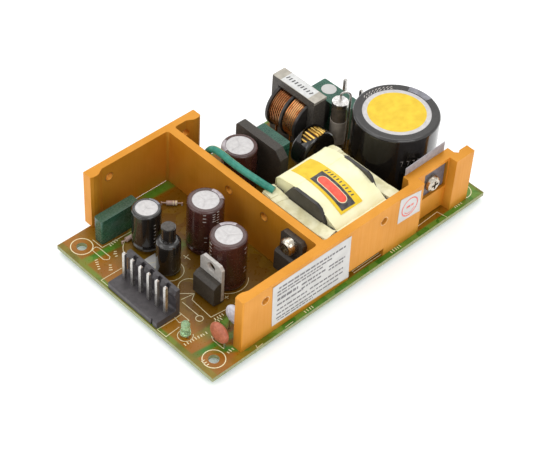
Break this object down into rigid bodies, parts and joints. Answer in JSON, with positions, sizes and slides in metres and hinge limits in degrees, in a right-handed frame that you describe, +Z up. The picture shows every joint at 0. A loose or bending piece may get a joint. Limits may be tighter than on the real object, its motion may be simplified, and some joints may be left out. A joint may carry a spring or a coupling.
{
  "type": "open frame power supply",
  "caption": "Open frame AC to DC power supply on a 3 by 5 inch board, with a one-piece orange anodised heatsink, pin headers at both ends and a covered transformer.",
  "frame": {"origin": "centre of the four mounting holes, on the underside of the circuit board", "axes": "+X along the board towards the mains input end, +Z up through the board towards the parts, +Y towards the heatsink wall that overhangs the board's edge"},
  "size_m": [0.127, 0.079, 0.0314],
  "materials": {
    "board": "glass epoxy laminate under a clear green-gold solder mask",
    "anodised": "orange gold anodised, fine extrusion lines",
    "zinc": "zinc plated steel",
    "solder": "bright solder",
    "tinned": "tinned brass and copper",
    "header_plastic": "black nylon",
    "black_sleeve": "black PVC shrink sleeve",
    "maroon_sleeve": "maroon PVC shrink sleeve",
    "green_epoxy": "green dipped epoxy",
    "teal_box": "teal plastic box, potted",
    "ferrite": "sintered dark grey ferrite",
    "copper": "enamelled copper wire",
    "gold_wire": "enamelled wire, pale gold",
    "bobbin": "black moulded bobbin",
    "glass_tube": "clear glass",
    "nickel": "nickel plated brass",
    "grey_sleeve": "grey shrink sleeve",
    "yellow_tape": "pale yellow polyester tape",
    "cream_tape": "cream polyester tape",
    "earth_insulation": "green and yellow PVC",
    "moulding": "black epoxy moulding compound",
    "led_green": "clear green epoxy",
    "salmon": "dipped ceramic, salmon",
    "lilac": "dipped ceramic, pale lilac",
    "resistor": "lacquered body",
    "grey_sheet": "silicone coated insulator",
    "grey_plate": "dark grey plastic plate"
  },
  "bodies": {
    "root": {"circuit_board": "board", "heatsink": "anodised", "heatsink_screws": "zinc", "solder_joints": "solder", "output_header": "header_plastic", "output_pins": "tinned", "input_header": "header_plastic", "input_pins": "tinned", "bulk_capacitor": "black_sleeve", "output_capacitor_a": "maroon_sleeve", "output_capacitor_b": "maroon_sleeve", "filter_capacitor": "black_sleeve", "supply_capacitor": "maroon_sleeve", "film_capacitor": "green_epoxy", "box_capacitor": "teal_box", "x_capacitor": "teal_box", "rod_choke_core": "ferrite", "rod_choke_body": "black_sleeve", "choke_core": "ferrite", "choke_bobbin": "bobbin", "choke_windings": "copper", "toroid_core": "ferrite", "toroid_winding": "gold_wire", "toroid_sleeve": "black_sleeve", "fuse_tube": "glass_tube", "fuse_caps": "nickel", "fuse_sleeve": "grey_sleeve", "fuse_lead": "tinned", "transformer_core": "ferrite", "transformer_bobbin": "bobbin", "transformer_winding": "yellow_tape", "transformer_band": "cream_tape", "transformer_pins": "tinned", "earth_wire": "earth_insulation", "bridge_rectifier": "moulding", "bridge_legs": "tinned", "regulator_body": "moulding", "regulator_tab": "tinned", "regulator_legs": "tinned", "rectifier_body": "moulding", "rectifier_legs": "tinned", "spring_washer": "zinc", "package_screws": "zinc", "switch_body": "moulding", "switch_tab": "tinned", "switch_legs": "tinned", "switch_nut": "zinc", "insulator_sheet": "grey_sheet", "clamp_plate": "grey_plate", "led_lens": "led_green", "led_legs": "tinned", "disc_capacitor_a": "salmon", "disc_capacitor_b": "lilac", "disc_legs": "tinned", "axial_resistors": "resistor", "control_chip": "moulding", "optocoupler": "moulding"}
  },
  "joints": []
}
